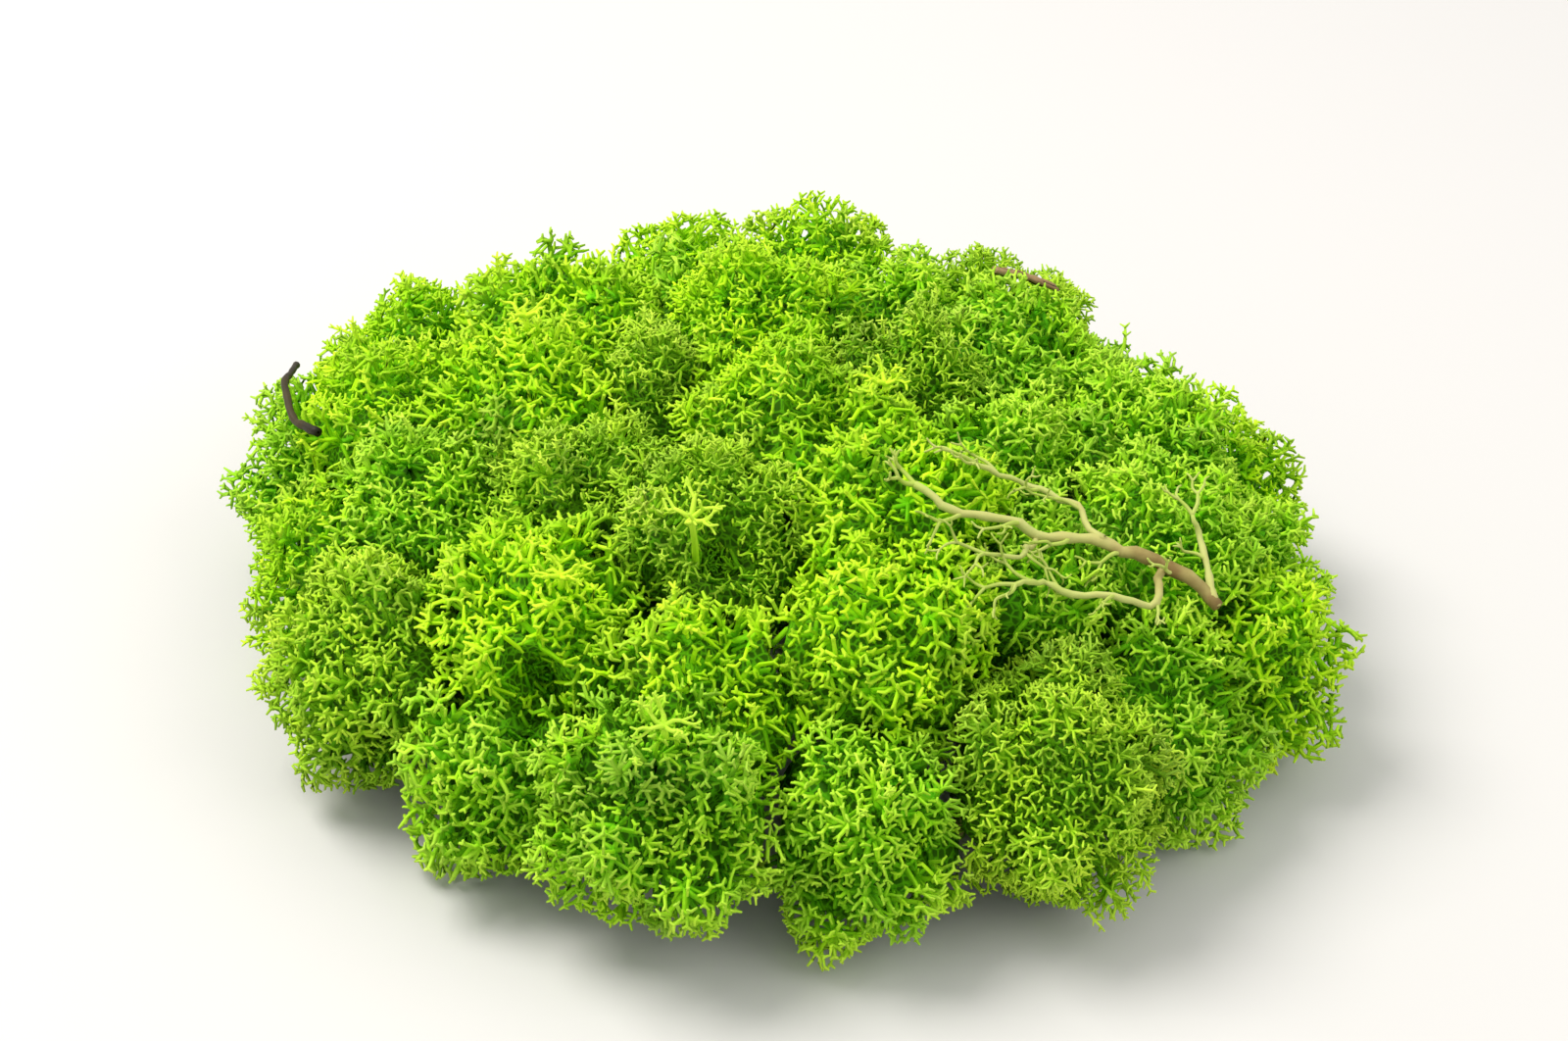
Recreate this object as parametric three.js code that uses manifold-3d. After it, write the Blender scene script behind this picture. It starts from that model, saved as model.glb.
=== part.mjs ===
// A clump of preserved reindeer lichen: domed, many-branched heads that grew side by side and hold
// each other, with an old bare podetium, a dark needle and a scrap of brown twig lying on them.
// Millimetres, +Z up. The origin is the foot of the middle head, on the surface the clump rests on.

import * as THREE from "three";
import { mergeVertices } from "three/addons/utils/BufferGeometryUtils.js";
import Module from "manifold-3d";

const wasm = await Module();
wasm.setup();

// Overall form of the cushion: a rounded, flat-topped dome that the heads' tops lie on
const CUSHION_HALF = [79, 83]; // half width and half depth
const CUSHION_HEIGHT = 49;
const PLAN_POWER = 2.2; // squareness of the cushion's outline
const SIDE_POWER = 2.8; // squareness of its shoulder
const FOOT_DRAW = 0.85; // a head's foot stands this share of the way out to its centre

// Surface of a head
const LUMPS = 9; // swellings round the upper side of each head
const LUMP_SHARE = 0.13; // height of a swelling, as a share of the head's radius
const LUMP_TIGHTNESS = 14;
const LUMP_RANGE = 0.8; // the swellings reach this far down a head, 2 being all round it
const UNDERSIDE_SHARE = 0.3; // how far the underside is drawn in, as a share of the radius
const BRANCH_DEPTH = 4; // length of the free branch tips
const CREASE_DEPTH = 2.5; // the same where a head presses on its neighbours

// Net of triangles that a head is made from: even over its open side, and coarser round its foot
const FACE_AREA = 12; // of a triangle on the open side
const INNER_OPENING = 48; // degrees from the axis to the edge of the open side, in the middle
const OUTER_OPENING = 86; // the same for the outermost heads
const NET_DETAIL = 2;
const NET_JITTER = 0.1; // wander of the net's corners

// Branch tips: most are forked, and the rest, with those close to a neighbour, end in one point
const FORK_SHARE = 0.5;
const FORK_SPREAD = 1.35; // distance of each prong from the tip's middle
const FORK_NOTCH = 1.7; // depth of the notch between the prongs
const FORK_CLEAR = 2.2; // a forked tip stands at least this far inside its head's own room
const TIP_CLEAR = 0.6; // the same for a single tip
const TIP_LEAN = 0.9; // sideways wander of a tip
const LOWEST_TIP = 0; // tips grow down to this height round a head, -1 being its foot's side

// Stems
const STEM_RADIUS = 1.5;
const STEM_SPREAD = 3.2; // distance of the second stem from the foot's middle
const STEM_TURN = 2.4; // that stem's way round the foot turns by this from head to head, in radians
const STEM_CLEAR = 2; // from a stem's middle to the heads beside it
const STEM_ROUNDS = 40;
const STEM_SIDES = 3;
const STEM_ROOT = 2; // a stem is made this much longer, then cut level with the surface

// Clearances
const HEAD_GAP = 0.3; // between two heads that press on each other
const RESTING_GAP = 0.3; // under what lies on the heads
const FLOOR_CLEAR = 1.2; // the outer heads hang this far above the surface

// Heads: place of the top in plan, radius, how far it stands out of the cushion, and its dye
const LIME = "lime";
const GREEN = "green";
const OLIVE = "olive";
const HEADS = [
  { at: [0, 0], radius: 22, rise: 0.5, dye: LIME },
  { at: [-33, 68], radius: 22, rise: 2.5, dye: LIME },
  { at: [-6, 77], radius: 21, rise: -1.0, dye: LIME },
  { at: [21, 74], radius: 21, rise: 2.0, dye: LIME },
  { at: [-47, 41], radius: 23, rise: 1.0, dye: LIME },
  { at: [-15, 45], radius: 25, rise: 2.0, dye: LIME },
  { at: [12, 47], radius: 22, rise: -3.0, dye: GREEN },
  { at: [37, 51], radius: 22, rise: 2.0, dye: LIME },
  { at: [-31, 24], radius: 23, rise: 1.5, dye: LIME },
  { at: [-54, 14], radius: 22, rise: -1.5, dye: GREEN },
  { at: [10, 24], radius: 23, rise: 2.5, dye: LIME },
  { at: [36, 27], radius: 22, rise: -1.0, dye: GREEN },
  { at: [65, 31], radius: 22, rise: 2.0, dye: OLIVE },
  { at: [-73, -6], radius: 21, rise: 2.5, dye: OLIVE },
  { at: [-34, 0], radius: 20, rise: -1.5, dye: OLIVE },
  { at: [-12, 18], radius: 19, rise: -2.0, dye: OLIVE },
  { at: [23, 4], radius: 20, rise: -0.5, dye: OLIVE },
  { at: [46, 5], radius: 23, rise: 1.0, dye: GREEN },
  { at: [74, 4], radius: 21, rise: -1.5, dye: GREEN },
  { at: [-51, -20], radius: 23, rise: 1.0, dye: LIME },
  { at: [-23, -20], radius: 22, rise: 1.0, dye: OLIVE },
  { at: [3, -25], radius: 24, rise: 2.0, dye: LIME },
  { at: [29, -19], radius: 20, rise: -3.0, dye: GREEN },
  { at: [54, -21], radius: 23, rise: 1.0, dye: GREEN },
  { at: [-37, -44], radius: 22, rise: 0.0, dye: LIME },
  { at: [-11, -48], radius: 23, rise: 1.5, dye: LIME },
  { at: [15, -48], radius: 21, rise: -3.0, dye: GREEN },
  { at: [39, -45], radius: 23, rise: 1.5, dye: GREEN },
  { at: [65, -42], radius: 21, rise: -1.0, dye: GREEN },
  { at: [-24, -71], radius: 21, rise: -2.0, dye: GREEN },
  { at: [3, -76], radius: 21, rise: 2.0, dye: OLIVE },
  { at: [29, -72], radius: 21, rise: -1.5, dye: GREEN },
  { at: [51, 58], radius: 20, rise: -3.0, dye: GREEN },
  { at: [73, -19], radius: 20, rise: 2.5, dye: LIME },
  { at: [51, -62], radius: 20, rise: 1.5, dye: LIME },
  { at: [-50, -56], radius: 21, rise: 3.0, dye: GREEN },
  { at: [-68, -33], radius: 20, rise: -1.5, dye: GREEN },
  { at: [-70, 22], radius: 20, rise: -2.0, dye: LIME },
  { at: [-59, 50], radius: 21, rise: 1.0, dye: GREEN },
];

// Old bare podetium lying on the heads near the front: its branches, each as plan points, with the
// radius at its start and end
const BARE_PODETIUM = [
  { plan: [[30, -60], [26, -54], [19, -49], [12, -45], [4, -42], [-2, -37]], from: 1.15, to: 0.6 },
  { plan: [[19, -49], [19, -43], [14, -38], [8, -35]], from: 0.9, to: 0.5 },
  { plan: [[26, -54], [21, -57], [14, -55], [8, -52], [3, -53]], from: 0.9, to: 0.5 },
  { plan: [[12, -45], [8, -48], [2, -48]], from: 0.7, to: 0.45 },
  { plan: [[30, -60], [32, -54], [32, -50]], from: 0.9, to: 0.5 },
];

// Needle and twig scrap: plan points and radii
const DARK_NEEDLE = { plan: [[-56, 29], [-57, 36], [-55, 44], [-51, 51]], from: 0.65, to: 0.5 };
const BROWN_TWIG = { plan: [[44, 15], [49, 15], [54, 13]], from: 0.95, to: 0.75 };
const SCRAP_SIDES = 5;
const BRIDGE_REACH = 5;
const BRIDGE_SAMPLES = 12;
const LYING_START = 12; // height above the heads from which a lying piece is lowered
const FALL_LIMIT = 24;

const MATERIALS = {
  lime: new THREE.MeshStandardMaterial({ color: 0x8ccb1c, roughness: 0.85, metalness: 0 }),
  green: new THREE.MeshStandardMaterial({ color: 0x66b022, roughness: 0.85, metalness: 0 }),
  olive: new THREE.MeshStandardMaterial({ color: 0x749b35, roughness: 0.9, metalness: 0 }),
  bare: new THREE.MeshStandardMaterial({ color: 0xbfc06a, roughness: 0.8, metalness: 0 }),
  needle: new THREE.MeshStandardMaterial({ color: 0x4a4630, roughness: 0.7, metalness: 0 }),
  twig: new THREE.MeshStandardMaterial({ color: 0x7a5238, roughness: 0.8, metalness: 0 }),
};

const UP = new THREE.Vector3(0, 0, 1);
const FAR = 400; // edge of the boxes that cut a head to its room

// Seeded random numbers, so that the clump is the same every time
function randomFrom(seed) {
  let state = seed >>> 0;
  return () => {
    state = (state + 0x6d2b79f5) >>> 0;
    let t = Math.imul(state ^ (state >>> 15), 1 | state);
    t = (t + Math.imul(t ^ (t >>> 7), 61 | t)) ^ t;
    return ((t ^ (t >>> 14)) >>> 0) / 4294967296;
  };
}

function smooth(low, high, value) {
  return THREE.MathUtils.smoothstep(value, low, high);
}

// A closed triangle mesh as a manifold solid
function solidFrom(geometry) {
  const bare = geometry.clone();
  bare.deleteAttribute("normal");
  bare.deleteAttribute("uv");
  const merged = mergeVertices(bare, 1e-4);
  return new wasm.Manifold(
    new wasm.Mesh({
      numProp: 3,
      vertProperties: new Float32Array(merged.attributes.position.array),
      triVerts: new Uint32Array(merged.index.array),
    }),
  );
}

// A manifold solid as geometry with flat faces
function geometryFrom(solid) {
  const mesh = solid.getMesh();
  const positions = new Float32Array(mesh.numVert * 3);
  for (let i = 0; i < mesh.numVert; i++)
    positions.set(mesh.vertProperties.subarray(i * mesh.numProp, i * mesh.numProp + 3), i * 3);
  const geometry = new THREE.BufferGeometry();
  geometry.setAttribute("position", new THREE.BufferAttribute(positions, 3));
  geometry.setIndex(new THREE.BufferAttribute(mesh.triVerts, 1));
  geometry.computeVertexNormals();
  return geometry;
}

function geometryOf(points, triangles) {
  const geometry = new THREE.BufferGeometry();
  geometry.setAttribute(
    "position",
    new THREE.Float32BufferAttribute(points.flatMap((p) => p.toArray()), 3),
  );
  geometry.setIndex(triangles.flat());
  return geometry;
}

// A tapered, closed tube through points, with flat ends
function tube(path, from, to, sides) {
  const points = [];
  const triangles = [];
  let side = new THREE.Vector3(0, 0, 1);
  path.forEach((point, i) => {
    const along = path[Math.min(i + 1, path.length - 1)]
      .clone()
      .sub(path[Math.max(i - 1, 0)])
      .normalize();
    if (Math.abs(side.dot(along)) > 0.95) side = new THREE.Vector3(1, 0, 0);
    side = side.clone().addScaledVector(along, -side.dot(along)).normalize();
    const other = new THREE.Vector3().crossVectors(along, side);
    const radius = THREE.MathUtils.lerp(from, to, i / (path.length - 1));
    for (let k = 0; k < sides; k++) {
      const turn = (2 * Math.PI * k) / sides;
      points.push(
        point
          .clone()
          .addScaledVector(side, radius * Math.cos(turn))
          .addScaledVector(other, radius * Math.sin(turn)),
      );
    }
  });
  for (let i = 0; i < path.length - 1; i++)
    for (let k = 0; k < sides; k++) {
      const a = i * sides + k;
      const b = i * sides + ((k + 1) % sides);
      triangles.push([a, b, b + sides], [a, b + sides, a + sides]);
    }
  const last = (path.length - 1) * sides;
  for (let k = 1; k < sides - 1; k++)
    triangles.push([0, k + 1, k], [last, last + k, last + k + 1]);
  return solidFrom(geometryOf(points, triangles));
}

// Places of the heads: each points straight out of the cushion
HEADS.forEach((head, index) => {
  const [x, y] = head.at;
  const [across, along] = [Math.abs(x) / CUSHION_HALF[0], Math.abs(y) / CUSHION_HALF[1]];
  const out = across ** PLAN_POWER + along ** PLAN_POWER;
  const height = (1 - out) ** (1 / SIDE_POWER);
  head.index = index;
  head.axis = new THREE.Vector3(
    (Math.sign(x) * PLAN_POWER * across ** (PLAN_POWER - 1)) / CUSHION_HALF[0],
    (Math.sign(y) * PLAN_POWER * along ** (PLAN_POWER - 1)) / CUSHION_HALF[1],
    (SIDE_POWER * height ** (SIDE_POWER - 1)) / CUSHION_HEIGHT,
  ).normalize();
  head.opening = THREE.MathUtils.lerp(INNER_OPENING, OUTER_OPENING, smooth(0.3, 0.75, out));
  head.centre = new THREE.Vector3(x, y, height * CUSHION_HEIGHT);
  head.centre.addScaledVector(head.axis, head.rise - head.radius);
  head.foot = new THREE.Vector3(head.centre.x * FOOT_DRAW, head.centre.y * FOOT_DRAW, 0);
  head.lumps = lumpDirections(head);
});

// Swellings spread round the head's axis by the golden angle
function lumpDirections(head) {
  const across = new THREE.Vector3(1, 0, 0).cross(head.axis).normalize();
  const other = new THREE.Vector3().crossVectors(head.axis, across);
  const golden = Math.PI * (3 - Math.sqrt(5));
  return Array.from({ length: LUMPS }, (_, k) => {
    const rise = 1 - (LUMP_RANGE * (k + 0.35)) / LUMPS;
    const turn = golden * k + head.index * 1.7;
    const flat = Math.sqrt(Math.max(0, 1 - rise * rise));
    return head.axis
      .clone()
      .multiplyScalar(rise)
      .addScaledVector(across, flat * Math.cos(turn))
      .addScaledVector(other, flat * Math.sin(turn))
      .normalize();
  });
}

// Distance from a head's centre to the ends of its branches, in a direction
function reach(head, direction) {
  const swell = Math.max(
    ...head.lumps.map((lump) => Math.exp(LUMP_TIGHTNESS * (direction.dot(lump) - 1))),
  );
  const under = smooth(0.2, 1, -direction.dot(head.axis));
  return head.radius * (1 - LUMP_SHARE + LUMP_SHARE * swell - UNDERSIDE_SHARE * under);
}

// The planes between a head and its neighbours: each holds the circle where their surfaces meet
function roomOf(head) {
  return HEADS.filter(
    (other) =>
      other !== head && other.centre.distanceTo(head.centre) < other.radius + head.radius,
  ).map((other) => {
    const apart = other.centre.clone().sub(head.centre);
    const share = 0.5 + (head.radius ** 2 - other.radius ** 2) / (2 * apart.lengthSq());
    const between = head.centre.clone().addScaledVector(apart, share);
    const normal = apart.normalize();
    return { normal, offset: normal.dot(between) - HEAD_GAP / 2 };
  });
}

function depthInside(room, point) {
  return Math.min(...room.map((plane) => plane.offset - plane.normal.dot(point)));
}

// The branched-through body that the tips stand out of, in a direction from the head's centre
function bodyPoint(head, room, direction) {
  const full = reach(head, direction);
  const place = head.centre.clone().addScaledVector(direction, full);
  const free = smooth(0, BRANCH_DEPTH, depthInside(room, place));
  return place.addScaledVector(direction, -THREE.MathUtils.lerp(CREASE_DEPTH, BRANCH_DEPTH, free));
}

// What lies beyond a plane, as a box far larger than a head
function beyond(normal, offset) {
  const box = new THREE.BoxGeometry(FAR, FAR, FAR);
  box.translate(0, 0, FAR / 2);
  box.applyQuaternion(new THREE.Quaternion().setFromUnitVectors(UP, normal));
  box.translate(...normal.clone().multiplyScalar(offset).toArray());
  return solidFrom(box);
}

function cutToRoom(solid, room) {
  return room.reduce(
    (kept, plane) => kept.subtract(beyond(plane.normal, plane.offset)),
    solid,
  );
}

function cutBelow(solid, height) {
  return solid.subtract(beyond(UP.clone().negate(), -height));
}

// The net of directions round a head's axis, and its triangles. Branch tips are drawn from triangles
// that share no edge
function netRound(head, random) {
  const ball = new THREE.IcosahedronGeometry(1, NET_DETAIL);
  ball.deleteAttribute("normal");
  ball.deleteAttribute("uv");
  const net = mergeVertices(ball, 1e-4);
  const spin = new THREE.Quaternion().setFromAxisAngle(UP, random() * Math.PI * 2);
  const toAxis = new THREE.Quaternion().setFromUnitVectors(UP, head.axis);
  const openShare = (1 - Math.cos(THREE.MathUtils.degToRad(head.opening))) / 2;
  const evenShare = (FACE_AREA * net.index.count) / 3 / (4 * Math.PI * head.radius ** 2);
  const openNet = Math.min(0.92, openShare / evenShare);
  const spread = (share) =>
    share < openNet
      ? (share * openShare) / openNet
      : openShare + ((share - openNet) * (1 - openShare)) / (1 - openNet);
  const places = net.attributes.position;
  const directions = Array.from({ length: places.count }, (_, i) => {
    const jitter = new THREE.Vector3(random() - 0.5, random() - 0.5, random() - 0.5);
    const place = new THREE.Vector3().fromBufferAttribute(places, i);
    place.addScaledVector(jitter, 2 * NET_JITTER).normalize();
    const rise = 1 - 2 * spread((1 - place.z) / 2);
    const widening = Math.sqrt((1 - rise * rise) / Math.max(1e-9, 1 - place.z * place.z));
    const moved = new THREE.Vector3(place.x * widening, place.y * widening, rise).normalize();
    return moved.applyQuaternion(spin).applyQuaternion(toAxis);
  });
  const branched = new Set();
  const faces = [];
  for (let i = 0; i < net.index.count; i += 3) {
    const corners = [0, 1, 2].map((k) => net.index.getX(i + k));
    const edges = corners.map((a, k) => [a, corners[(k + 1) % 3]].sort((m, n) => m - n).join());
    const branches = edges.every((edge) => !branched.has(edge));
    if (branches) edges.forEach((edge) => branched.add(edge));
    faces.push({ corners, branches });
  }
  return { directions, faces };
}

function addSingleTip(points, triangles, [a, b, c], top) {
  const tip = points.push(top) - 1;
  triangles.push([a, b, tip], [b, c, tip], [c, a, tip]);
}

// One forked branch tip drawn out of a triangle: two prongs with a notch between them
function addForkedTip(points, triangles, [a, b, c], top, side, outward) {
  const p = points.push(top.clone().addScaledVector(side, -FORK_SPREAD)) - 1;
  const q = points.push(top.clone().addScaledVector(side, FORK_SPREAD)) - 1;
  const notch = points.push(top.clone().addScaledVector(outward, -FORK_NOTCH)) - 1;
  triangles.push([a, b, notch], [a, notch, p], [b, q, notch]);
  triangles.push([c, a, p], [c, p, notch], [c, notch, q], [c, q, b]);
}

function branchedHead(head, room) {
  const random = randomFrom(1000 + head.index * 77);
  const { directions, faces } = netRound(head, random);
  const points = directions.map((direction) => bodyPoint(head, room, direction));
  const triangles = [];
  for (const { corners, branches } of faces) {
    const outward = corners
      .reduce((sum, i) => sum.add(directions[i]), new THREE.Vector3())
      .normalize();
    const side = points[corners[1]].clone().sub(points[corners[0]]);
    side.addScaledVector(outward, -side.dot(outward)).normalize();
    const other = new THREE.Vector3().crossVectors(outward, side);
    const wander = () => (random() - 0.5) * 2 * TIP_LEAN;
    const top = head.centre
      .clone()
      .addScaledVector(outward, reach(head, outward) * (1 - 0.05 * random()))
      .addScaledVector(side, wander())
      .addScaledVector(other, wander());
    const clear = Math.min(depthInside(room, top), top.z - FLOOR_CLEAR);
    const grows = branches && clear > TIP_CLEAR && outward.dot(head.axis) > LOWEST_TIP;
    const forked = random() < FORK_SHARE && clear > FORK_CLEAR;
    if (!grows) triangles.push(corners);
    else if (forked) addForkedTip(points, triangles, corners, top, side, outward);
    else addSingleTip(points, triangles, corners, top);
  }
  const whole = solidFrom(geometryOf(points, triangles));
  return cutBelow(cutToRoom(whole, room), FLOOR_CLEAR);
}

// A point moved level, away from the walls of a head's room, until it is clear of them
function keptInside(room, point) {
  const kept = point.clone();
  for (let round = 0; round < STEM_ROUNDS; round++)
    for (const { normal, offset } of room) {
      const level = normal.clone().setZ(0);
      const excess = normal.dot(kept) - offset + STEM_CLEAR;
      if (excess > 0) kept.addScaledVector(level, -excess / level.lengthSq());
    }
  return kept;
}

// Two stems from the foot up into the head: one in the foot's middle and one beside it
function stemsOf(head, room) {
  const middle = head.centre.clone().addScaledVector(head.axis, -0.15 * head.radius);
  const inside = keptInside(room, middle);
  const turn = head.index * STEM_TURN;
  const apart = new THREE.Vector3(Math.cos(turn), Math.sin(turn), 0);
  const beside = head.foot.clone().addScaledVector(apart, STEM_SPREAD);
  const stems = [head.foot, beside].map((place) => {
    const foot = keptInside(room, place);
    const below = foot.clone().addScaledVector(UP, -STEM_ROOT);
    const bend = foot.clone().lerp(inside, 0.5);
    return tube([below, bend, inside], STEM_RADIUS * 1.15, STEM_RADIUS * 0.9, STEM_SIDES);
  });
  return cutBelow(stems[0].add(stems[1]), 0);
}

function headSolid(head) {
  const room = roomOf(head);
  return branchedHead(head, room).add(stemsOf(head, room));
}

// Pieces that lie on the heads

// Height of the heads' branch ends over a place in plan
function coverHeight(x, y) {
  return Math.max(
    ...HEADS.map((head) => {
      const flat = Math.hypot(x - head.centre.x, y - head.centre.y);
      const inside = head.radius ** 2 - flat ** 2;
      return inside > 0 ? head.centre.z + Math.sqrt(inside) : 0;
    }),
  );
}

// The same, evened out as a stiff stem bridges the dips between heads
function bridgedHeight(x, y) {
  let sum = 0;
  for (let k = 0; k < BRIDGE_SAMPLES; k++) {
    const turn = (2 * Math.PI * k) / BRIDGE_SAMPLES;
    sum += coverHeight(x + BRIDGE_REACH * Math.cos(turn), y + BRIDGE_REACH * Math.sin(turn));
  }
  return sum / BRIDGE_SAMPLES;
}

// A piece that lies on the heads, lowered from above by a distance
function lyingSolid(branches, fall) {
  const tubes = branches.map(({ plan, from, to }) => {
    const path = plan.map(
      ([x, y]) => new THREE.Vector3(x, y, bridgedHeight(x, y) + LYING_START - fall),
    );
    return tube(path, from, to, SCRAP_SIDES);
  });
  return tubes.reduce((whole, part) => whole.add(part));
}

// The same, at rest: the fall that just doesn't touch the heads is found by halving
function restedSolid(branches, carriers) {
  let touching = FALL_LIMIT;
  let free = 0;
  while (touching - free > 0.02) {
    const fall = (touching + free) / 2;
    const lowered = lyingSolid(branches, fall);
    if (carriers.some((carrier) => carrier.intersect(lowered).getMesh().numTri > 0))
      touching = fall;
    else free = fall;
  }
  return lyingSolid(branches, free - RESTING_GAP);
}

const lichenClump = new THREE.Group();

function addPiece(name, solid, material) {
  const mesh = new THREE.Mesh(geometryFrom(solid), material);
  mesh.name = name;
  lichenClump.add(mesh);
}

const headSolids = HEADS.map(headSolid);
headSolids.forEach((solid, i) => {
  const name = `head_${String(i + 1).padStart(2, "0")}`;
  addPiece(name, solid, MATERIALS[HEADS[i].dye]);
});

addPiece("bare_podetium", restedSolid(BARE_PODETIUM, headSolids), MATERIALS.bare);
addPiece("dark_needle", restedSolid([DARK_NEEDLE], headSolids), MATERIALS.needle);
addPiece("brown_twig", restedSolid([BROWN_TWIG], headSolids), MATERIALS.twig);

export default lichenClump;
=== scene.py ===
"""Looks of a clump of preserved reindeer lichen.

Each head of the CAD model is grown again as a many-branched podetium: forked branchlets of real
size with star-shaped tips, out to the head's surface and between its neighbours. Places are in
millimetres, as in the part's source, and become metres when a mesh is made. A branch's growth
is its height, from 0, deep, to 1, a tip; its tone; and how dull its bush is.
"""

import math
from types import SimpleNamespace
from typing import NamedTuple

import bmesh
import bpy
import numpy as np
from mathutils import Matrix, Vector


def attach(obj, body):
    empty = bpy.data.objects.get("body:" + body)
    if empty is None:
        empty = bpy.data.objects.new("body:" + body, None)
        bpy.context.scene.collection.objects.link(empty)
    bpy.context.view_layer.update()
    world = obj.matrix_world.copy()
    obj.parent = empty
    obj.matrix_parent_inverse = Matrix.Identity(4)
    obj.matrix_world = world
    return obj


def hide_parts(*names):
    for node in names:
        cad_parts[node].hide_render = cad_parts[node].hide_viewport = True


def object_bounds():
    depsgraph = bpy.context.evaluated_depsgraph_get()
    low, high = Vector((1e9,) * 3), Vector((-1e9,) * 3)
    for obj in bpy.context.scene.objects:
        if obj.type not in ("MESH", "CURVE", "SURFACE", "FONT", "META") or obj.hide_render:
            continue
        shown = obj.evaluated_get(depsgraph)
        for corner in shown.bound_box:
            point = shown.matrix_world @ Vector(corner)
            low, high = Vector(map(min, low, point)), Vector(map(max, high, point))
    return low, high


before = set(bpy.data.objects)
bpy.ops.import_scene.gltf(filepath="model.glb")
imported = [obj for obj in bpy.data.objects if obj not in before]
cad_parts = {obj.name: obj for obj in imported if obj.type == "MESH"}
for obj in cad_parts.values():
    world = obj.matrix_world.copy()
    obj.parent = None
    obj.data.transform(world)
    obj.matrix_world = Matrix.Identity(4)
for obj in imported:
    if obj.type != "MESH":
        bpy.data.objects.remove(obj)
cad_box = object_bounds()

MM = 0.001

HEAD_SEED = 700  # the first head's; each other head has the next
STEM_SEED, NEEDLE_SEED, TWIG_SEED = 81, 82, 83

# Overall form, as in the part's source
CUSHION_HALF = (79.0, 83.0)
CUSHION_HEIGHT = 49.0
PLAN_POWER = 2.2
SIDE_POWER = 2.8
FOOT_DRAW = 0.85
LUMPS = 9
LUMP_SHARE = 0.13
LUMP_TIGHTNESS = 14.0
LUMP_RANGE = 0.8
LUMP_START, LUMP_TURN = 0.35, 1.7  # the first lump's place, and the turn from head to head
UNDERSIDE_SHARE = 0.3
UNDERSIDE_RUN = (0.2, 1.0)
HEAD_GAP = 0.3
FLOOR_CLEAR = 1.2
STEM_SPREAD = 3.2
STEM_TURN = 2.4
STEM_CLEAR = 2.0
STEM_ROUNDS = 40

# Heads: place in plan, radius, rise and dye as in the part's source, and how loosely they branch
HEADS = [
    (0, 0, 22, 0.5, "lime", "mid"),
    (-33, 68, 22, 2.5, "lime", "mid"),
    (-6, 77, 21, -1.0, "lime", "loose"),
    (21, 74, 21, 2.0, "lime", "mid"),
    (-47, 41, 23, 1.0, "lime", "mid"),
    (-15, 45, 25, 2.0, "lime", "loose"),
    (12, 47, 22, -3.0, "green", "loose"),
    (37, 51, 22, 2.0, "lime", "mid"),
    (-31, 24, 23, 1.5, "lime", "loose"),
    (-54, 14, 22, -1.5, "green", "mid"),
    (10, 24, 23, 2.5, "lime", "mid"),
    (36, 27, 22, -1.0, "green", "mid"),
    (65, 31, 22, 2.0, "olive", "fine"),
    (-73, -6, 21, 2.5, "olive", "mid"),
    (-34, 0, 20, -1.5, "olive", "fine"),
    (-12, 18, 19, -2.0, "olive", "fine"),
    (23, 4, 20, -0.5, "olive", "fine"),
    (46, 5, 23, 1.0, "green", "mid"),
    (74, 4, 21, -1.5, "green", "mid"),
    (-51, -20, 23, 1.0, "lime", "loose"),
    (-23, -20, 22, 1.0, "olive", "fine"),
    (3, -25, 24, 2.0, "lime", "loose"),
    (29, -19, 20, -3.0, "green", "mid"),
    (54, -21, 23, 1.0, "green", "mid"),
    (-37, -44, 22, 0.0, "lime", "loose"),
    (-11, -48, 23, 1.5, "lime", "loose"),
    (15, -48, 21, -3.0, "green", "mid"),
    (39, -45, 23, 1.5, "green", "mid"),
    (65, -42, 21, -1.0, "green", "mid"),
    (-24, -71, 21, -2.0, "green", "mid"),
    (3, -76, 21, 2.0, "olive", "fine"),
    (29, -72, 21, -1.5, "green", "mid"),
    (51, 58, 20, -3.0, "green", "mid"),
    (73, -19, 20, 2.5, "lime", "mid"),
    (51, -62, 20, 1.5, "lime", "loose"),
    (-50, -56, 21, 3.0, "green", "mid"),
    (-68, -33, 20, -1.5, "green", "loose"),
    (-70, 22, 20, -2.0, "lime", "mid"),
    (-59, 50, 21, 1.0, "green", "mid"),
]


class Habit(NamedTuple):
    """How a head branches: the size and spacing of its tips and of the bushes that they form."""

    tip_spacing: float
    tip_radius: float
    ragged: float
    bush_spacing: float
    bush_depth: float


HABITS = {
    "loose": Habit(2.02, 0.34, 1.3, 9.0, 2.4),
    "mid": Habit(1.74, 0.29, 0.9, 8.0, 2.0),
    "fine": Habit(1.5, 0.235, 0.5, 7.0, 1.6),
}

# A head's surface: small bushes on its lumps, with valleys between them
NEIGHBOUR_REACH = 1.15  # heads are neighbours within this share of the sum of their radii
LUMP_RELIEF = 3.0
BUSH_RISE = 0.9
BUSH_RISE_RANGE = (-2.2 * BUSH_RISE, 0.8 * BUSH_RISE)
BUSH_EDGE = 0.55  # from a bush's middle to its edge, as a share of the bushes' spacing
BUSH_EDGE_MOST = 1.2
VALLEY_RUN = (0.45, 1.1)  # a valley between two bushes begins and ends at these shares of the edge
BUSH_VALLEY, LUMP_VALLEY = 0.55, 0.65
CREASE_SHADE = 0.38  # how much darker the ends of the branches are painted in a valley: painted shade
CREASE_DEPTH = 0.03  # how much lower the surface is where a head meets a neighbour
MEETING_RUN = (1.7, 1.0)  # way to the neighbour over way to the surface: apart, and meeting
RESTING_RANGE = (1.0, 7.0)  # the surface isn't parted this near to a piece that lies on it
RESTING_CLEAR = 0.9
TWIG_CLEAR = 1.1  # the branches round the scrap of twig are broken off a little further away
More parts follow.
